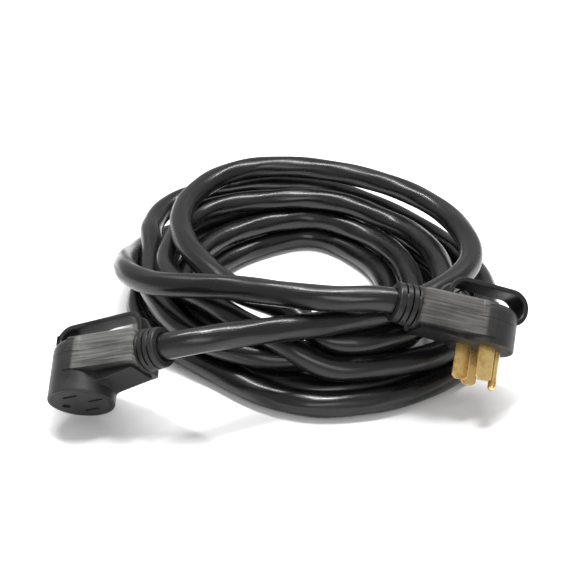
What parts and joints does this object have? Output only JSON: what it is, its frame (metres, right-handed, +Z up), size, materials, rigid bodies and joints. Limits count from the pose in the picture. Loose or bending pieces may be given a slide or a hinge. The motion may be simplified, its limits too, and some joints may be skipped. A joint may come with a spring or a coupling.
{
  "type": "shore power cord",
  "caption": "Heavy coiled power cord with a right-angle slotted connector at one end and a right-angle bladed plug at the other, each with a moulded pull handle.",
  "frame": {"origin": "on the floor under the middle of the whole cord as it lies", "axes": "+Z up, +X from the connector towards the plug, +Y away from the two ends, across the coil"},
  "size_m": [0.4658, 0.4457, 0.1316],
  "materials": {
    "jacket": "glossy black vinyl",
    "housing": "satin moulded vinyl, dark grey",
    "relief": "satin moulded vinyl, ribbed",
    "handle": "satin moulded vinyl, black",
    "carrier": "matt, dark grey",
    "contact": "rolled, lightly polished",
    "core_black": "satin insulation",
    "core_red": "satin insulation",
    "core_white": "satin insulation",
    "core_green": "satin insulation"
  },
  "bodies": {
    "root": {"connector_housing": "housing", "connector_contact_carrier": "carrier", "connector_hot_contact_x": "contact", "connector_hot_contact_y": "contact", "connector_neutral_contact": "contact", "connector_ground_sleeve": "contact", "connector_hot_core_x": "core_black", "connector_hot_core_y": "core_red", "connector_neutral_core": "core_white", "connector_ground_core": "core_green", "connector_strain_relief": "relief", "connector_handle": "handle", "plug_housing": "housing", "plug_blade_carrier": "carrier", "plug_hot_blade_x": "contact", "plug_hot_blade_y": "contact", "plug_neutral_blade": "contact", "plug_ground_pin": "contact", "plug_hot_core_x": "core_black", "plug_hot_core_y": "core_red", "plug_neutral_core": "core_white", "plug_ground_core": "core_green", "plug_strain_relief": "relief", "plug_handle": "handle", "cord_run_to_connector": "jacket", "cord_coil": "jacket", "cord_run_to_plug": "jacket"}
  },
  "joints": []
}
